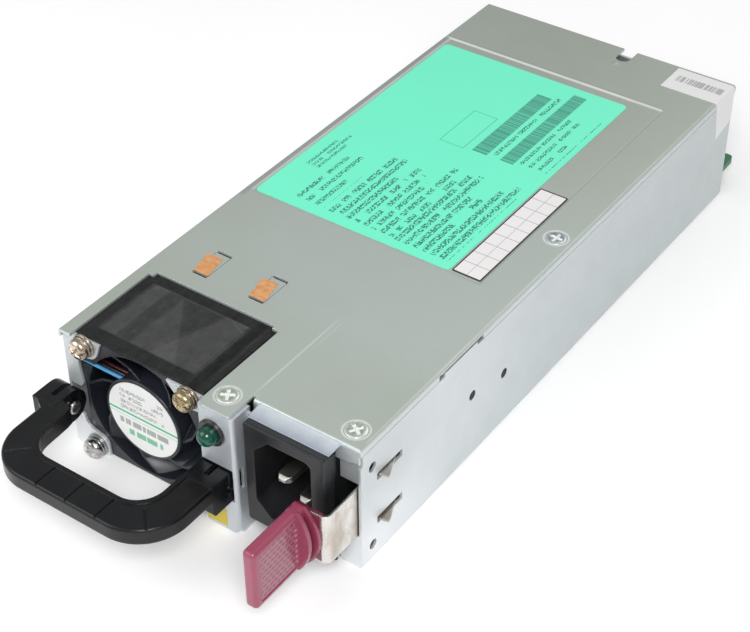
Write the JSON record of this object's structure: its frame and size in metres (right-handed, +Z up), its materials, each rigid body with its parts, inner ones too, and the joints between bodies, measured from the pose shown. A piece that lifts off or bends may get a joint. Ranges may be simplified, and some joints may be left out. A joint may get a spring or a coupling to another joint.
{
  "type": "hot swap server power supply",
  "caption": "Slide-in server power supply: flat sheet-metal box with fan, appliance inlet, status light, swinging pull handle, side release latch and rear card edge.",
  "frame": {"origin": "on the underside, half way between the side walls, in the plane of the inlet's front", "axes": "+Y from the handle end to the card edge along the sliding direction, +X towards the latch side, +Z up"},
  "size_m": [0.0921, 0.2366, 0.0394],
  "materials": {
    "zinc_steel": "satin zinc plate",
    "bright_steel": "bright",
    "spring_steel": "polished, lightly scratched",
    "bright_screw": "bright",
    "yellow_zinc": "yellow passivated",
    "nickel_blade": "dull nickel",
    "black_plastic": "fine moulded",
    "black_gloss": "gloss moulded",
    "maroon_plastic": "satin moulded",
    "green_lens": "clear gloss",
    "black_film": "matt film",
    "amber_tape": "heat-proof tape",
    "mint_label": "printed sheet",
    "white_label": "printed sheet",
    "yellow_patch": "bare yellow",
    "copper": "enamelled copper",
    "gold": "gold plate",
    "lead_sleeve": "blue, red and black insulation",
    "pale_plastic": "moulded",
    "lead_insulation": "insulated",
    "circuit_board": "solder mask",
    "heatsink": "extruded",
    "capacitor_sleeve": "shrink sleeve",
    "capacitor_box": "moulded box",
    "ferrite": "sintered",
    "winding_tape": "taped"
  },
  "bodies": {
    "housing": {"chassis_tray": "zinc_steel", "top_cover": "zinc_steel", "front_bracket": "zinc_steel", "fan_bracket": "zinc_steel", "rear_panel": "zinc_steel", "fan_film": "black_film", "strap_tapes": "amber_tape", "rating_label": "mint_label", "table_label": "white_label", "corner_label": "white_label", "cover_screws": "bright_screw", "fan_frame": "black_plastic", "fan_bearings": "bright_steel", "fan_stator": "copper", "fan_label": "white_label", "fan_leads": "lead_sleeve", "fan_plug": "pale_plastic", "fan_screws": "yellow_zinc", "led_bezel": "black_plastic", "led_lens": "green_lens", "column_patch": "yellow_patch", "inlet_housing": "black_plastic", "inlet_blades": "nickel_blade", "inlet_leads": "lead_insulation", "handle_pins": "bright_steel", "latch_base": "spring_steel", "latch_rivets": "bright_steel", "main_board": "circuit_board", "edge_contacts": "gold", "board_standoffs": "bright_steel", "board_screws": "bright_steel", "base_insulator": "black_film", "filter_choke": "copper", "filter_capacitors": "capacitor_box", "bulk_capacitors": "capacitor_sleeve", "switch_heatsink": "heatsink", "switch_packages": "black_plastic", "transformer_core": "ferrite", "transformer_winding": "winding_tape", "output_choke": "ferrite", "output_capacitors": "capacitor_sleeve", "control_board": "circuit_board"},
    "fan_rotor": {"fan_impeller": "black_plastic", "fan_shaft": "bright_steel"},
    "pull_handle": {"handle": "black_gloss"},
    "release_latch": {"latch_arm": "spring_steel", "latch_lever": "maroon_plastic"}
  },
  "joints": [
    {"name": "fan_spin", "type": "hinge", "parent": "housing", "child": "fan_rotor", "pos_m": [-0.0192, 0.015, 0.0192], "axis": [0, 1, 0], "continuous": true},
    {"name": "handle_swing", "type": "hinge", "parent": "housing", "child": "pull_handle", "pos_m": [-0.019, -0.00175, 0.016], "axis": [-1, 0, 0], "range_deg": [-24, 26]},
    {"name": "latch_release", "type": "hinge", "parent": "housing", "child": "release_latch", "pos_m": [0.04165, 0.05, 0.0186], "axis": [0, 0, -1], "range_deg": [0, 3.8], "stiffness_Nm_per_rad": 3}
  ]
}
